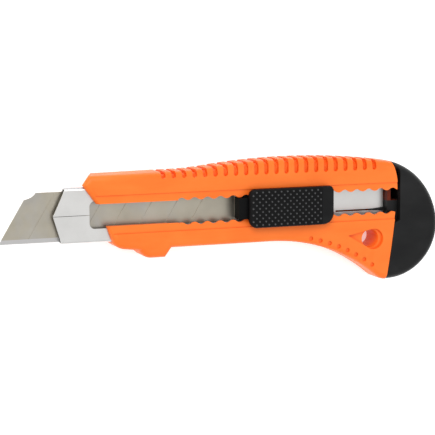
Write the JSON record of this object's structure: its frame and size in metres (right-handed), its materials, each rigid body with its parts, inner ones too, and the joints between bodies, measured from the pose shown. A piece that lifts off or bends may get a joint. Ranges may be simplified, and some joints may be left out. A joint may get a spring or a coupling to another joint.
{
  "type": "utility knife",
  "caption": "Snap-off utility knife with a scored blade in a folded steel channel, a toothed thumb slider in a wavy slot, and a pull-off end cap.",
  "frame": {"origin": "on the flat back face, half way along the handle, behind the blade's centre line", "axes": "+X along the knife from the blade to the end cap, +Y from the cutting edge to the ribbed back, +Z out of the face that carries the thumb slider"},
  "size_m": [0.1716, 0.0481, 0.0172],
  "materials": {
    "orange_abs": "satin",
    "black_abs": "satin",
    "channel_steel": "bright",
    "blade_steel": "ground",
    "spring_steel": "satin"
  },
  "bodies": {
    "frame": {"handle": "orange_abs", "blade_channel": "channel_steel"},
    "slider": {"blade": "blade_steel", "blade_carrier": "channel_steel", "carrier_stud": "channel_steel", "lock_spring": "spring_steel"},
    "button": {"lock_block": "black_abs", "thumb_pad": "black_abs"},
    "cap": {"end_cap": "black_abs"}
  },
  "joints": [
    {"name": "slider_slide", "type": "slide", "parent": "frame", "child": "slider", "axis": [1, 0, 0], "range_m": [-0.025, 0.035]},
    {"name": "button_press", "type": "slide", "parent": "slider", "child": "button", "axis": [0, 0, -1], "range_m": [0, 0.0009], "stiffness_N_per_m": 1500, "springref_m": -0.002, "deforming": ["lock_spring"]},
    {"name": "cap_pull", "type": "slide", "parent": "frame", "child": "cap", "axis": [1, 0, 0], "range_m": [0, 0.025]}
  ]
}
